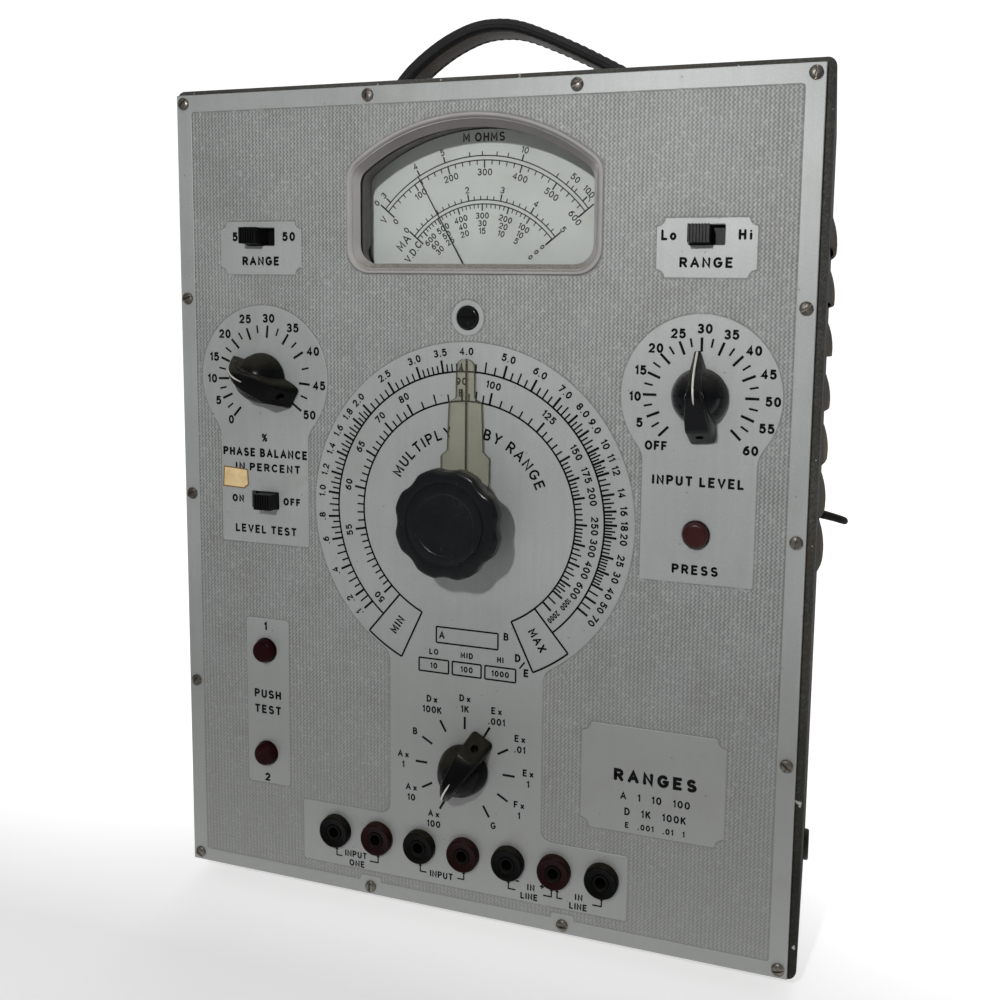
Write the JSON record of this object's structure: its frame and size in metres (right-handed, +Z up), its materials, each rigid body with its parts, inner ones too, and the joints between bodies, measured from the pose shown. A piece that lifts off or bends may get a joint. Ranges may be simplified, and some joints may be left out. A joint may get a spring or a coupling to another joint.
{
  "type": "capacitor test bridge",
  "caption": "Portable capacitor test bridge in a black steel case with a fan-shaped meter, large dial with clear cursor, pointer knobs, slide switches, push buttons, jacks and a strap handle.",
  "frame": {"origin": "centre of the whole object's footprint, on the plane the feet stand on", "axes": "+Z up, -Y out of the front panel, +X to the right as seen from the front"},
  "size_m": [0.261, 0.1076, 0.3515],
  "materials": {
    "cabinet_paint": "black wrinkle paint",
    "panel_metal": "etched and embossed, aged",
    "screw_metal": "tarnished nickel plate",
    "black_rubber": "matt",
    "bracket_metal": "dull nickel plate",
    "strap_leather": "worn black leather",
    "bezel_paint": "satin warm grey",
    "meter_glass": "clear",
    "dial_card": "printed, yellowed",
    "meter_bakelite": "moulded",
    "magnet_iron": "painted",
    "pointer_black": "matt black",
    "coil_copper": "enamelled copper wire",
    "bakelite_black": "polished bakelite",
    "control_steel": "zinc plate",
    "shaft_steel": "turned",
    "cursor_celluloid": "clear, yellowed",
    "slider_black": "ribbed",
    "button_red": "dark red",
    "jack_black": "polished",
    "jack_red": "polished",
    "contact_brass": "nickel plate worn to brass",
    "chassis_steel": "cadmium plate",
    "transformer_iron": "stacked sheet iron",
    "transformer_paper": "waxed paper wrap",
    "socket_bakelite": "brown bakelite",
    "tube_glass": "clear",
    "capacitor_can": "drawn can",
    "capacitor_paper": "waxed",
    "board_phenolic": "paper laminate",
    "resistor_body": "moulded carbon"
  },
  "bodies": {
    "cabinet": {"cabinet_shell": "cabinet_paint", "front_panel": "panel_metal", "panel_screws": "screw_metal", "rubber_feet": "black_rubber", "foot_screws": "screw_metal", "cord_grommet": "black_rubber", "lead_stub": "black_rubber", "handle_brackets": "bracket_metal", "handle_screws": "bracket_metal", "meter_bezel": "bezel_paint", "meter_glass": "meter_glass", "meter_dial_card": "dial_card", "meter_case": "meter_bakelite", "meter_magnet": "magnet_iron", "main_potentiometer": "meter_bakelite", "factor_potentiometer": "control_steel", "gain_potentiometer": "control_steel", "selector_switch": "control_steel", "control_nuts": "control_steel", "slide_switch_bodies": "control_steel", "button_housings": "meter_bakelite", "jack_shells_black": "jack_black", "jack_shells_red": "jack_red", "jack_contacts": "contact_brass", "jack_nuts": "control_steel", "chassis": "chassis_steel", "transformer_core": "transformer_iron", "transformer_coil": "transformer_paper", "tube_sockets": "socket_bakelite", "rectifier_tube": "tube_glass", "detector_tube": "tube_glass", "filter_capacitor": "capacitor_can", "paper_capacitors": "capacitor_paper", "resistor_board": "board_phenolic", "resistors": "resistor_body"},
    "main_dial": {"main_knob": "bakelite_black", "main_set_screw": "shaft_steel", "main_shaft": "shaft_steel", "main_cursor": "cursor_celluloid"},
    "factor_control": {"factor_knob": "bakelite_black", "factor_set_screw": "shaft_steel", "factor_shaft": "shaft_steel"},
    "gain_control": {"gain_knob": "bakelite_black", "gain_set_screw": "shaft_steel", "gain_shaft": "shaft_steel"},
    "selector_control": {"selector_knob": "bakelite_black", "selector_set_screw": "shaft_steel", "selector_shaft": "shaft_steel"},
    "current_switch": {"current_slider": "slider_black"},
    "volts_switch": {"volts_slider": "slider_black"},
    "check_switch": {"check_slider": "slider_black"},
    "volts_push": {"volts_button": "button_red"},
    "short_push_upper": {"short_button_upper": "button_red"},
    "short_push_lower": {"short_button_lower": "button_red"},
    "needle": {"meter_pointer": "pointer_black", "meter_coil": "coil_copper"},
    "zero_screw": {"zero_adjuster": "bakelite_black"},
    "handle": {"handle_strap": "strap_leather", "handle_ferrules": "bracket_metal"}
  },
  "joints": [
    {"name": "main_turn", "type": "hinge", "parent": "cabinet", "child": "main_dial", "pos_m": [-0.00445, -0.03715, 0.1614], "axis": [0, -1, 0], "range_deg": [-147, 147]},
    {"name": "factor_turn", "type": "hinge", "parent": "cabinet", "child": "factor_control", "pos_m": [-0.08855, -0.03715, 0.208], "axis": [0, -1, 0], "range_deg": [-193, 67]},
    {"name": "gain_turn", "type": "hinge", "parent": "cabinet", "child": "gain_control", "pos_m": [0.07965, -0.03715, 0.208], "axis": [0, -1, 0], "range_deg": [-137, 133]},
    {"name": "selector_turn", "type": "hinge", "parent": "cabinet", "child": "selector_control", "pos_m": [-0.00445, -0.03715, 0.066], "axis": [0, -1, 0], "range_deg": [-300, 0]},
    {"name": "current_slide", "type": "slide", "parent": "cabinet", "child": "current_switch", "axis": [1, 0, 0], "range_m": [0, 0.0042]},
    {"name": "volts_slide", "type": "slide", "parent": "cabinet", "child": "volts_switch", "axis": [1, 0, 0], "range_m": [0, 0.0042]},
    {"name": "check_slide", "type": "slide", "parent": "cabinet", "child": "check_switch", "axis": [1, 0, 0], "range_m": [-0.0042, 0]},
    {"name": "volts_press", "type": "slide", "parent": "cabinet", "child": "volts_push", "axis": [0, 1, 0], "range_m": [0, 0.002], "stiffness_N_per_m": 400},
    {"name": "short_press_upper", "type": "slide", "parent": "cabinet", "child": "short_push_upper", "axis": [0, 1, 0], "range_m": [0, 0.002], "stiffness_N_per_m": 400},
    {"name": "short_press_lower", "type": "slide", "parent": "cabinet", "child": "short_push_lower", "axis": [0, 1, 0], "range_m": [0, 0.002], "stiffness_N_per_m": 400},
    {"name": "needle_swing", "type": "hinge", "parent": "cabinet", "child": "needle", "pos_m": [-0.00445, -0.02615, 0.2389], "axis": [0, -1, 0], "range_deg": [-80, 20], "stiffness_Nm_per_rad": 0.005},
    {"name": "zero_turn", "type": "hinge", "parent": "cabinet", "child": "zero_screw", "pos_m": [-0.00445, -0.03715, 0.2324], "axis": [0, -1, 0], "range_deg": [-60, 60]},
    {"name": "handle_swing", "type": "hinge", "parent": "cabinet", "child": "handle", "pos_m": [-0.00445, 0.0093, 0.325], "axis": [1, 0, 0], "range_deg": [-80, 80]}
  ]
}
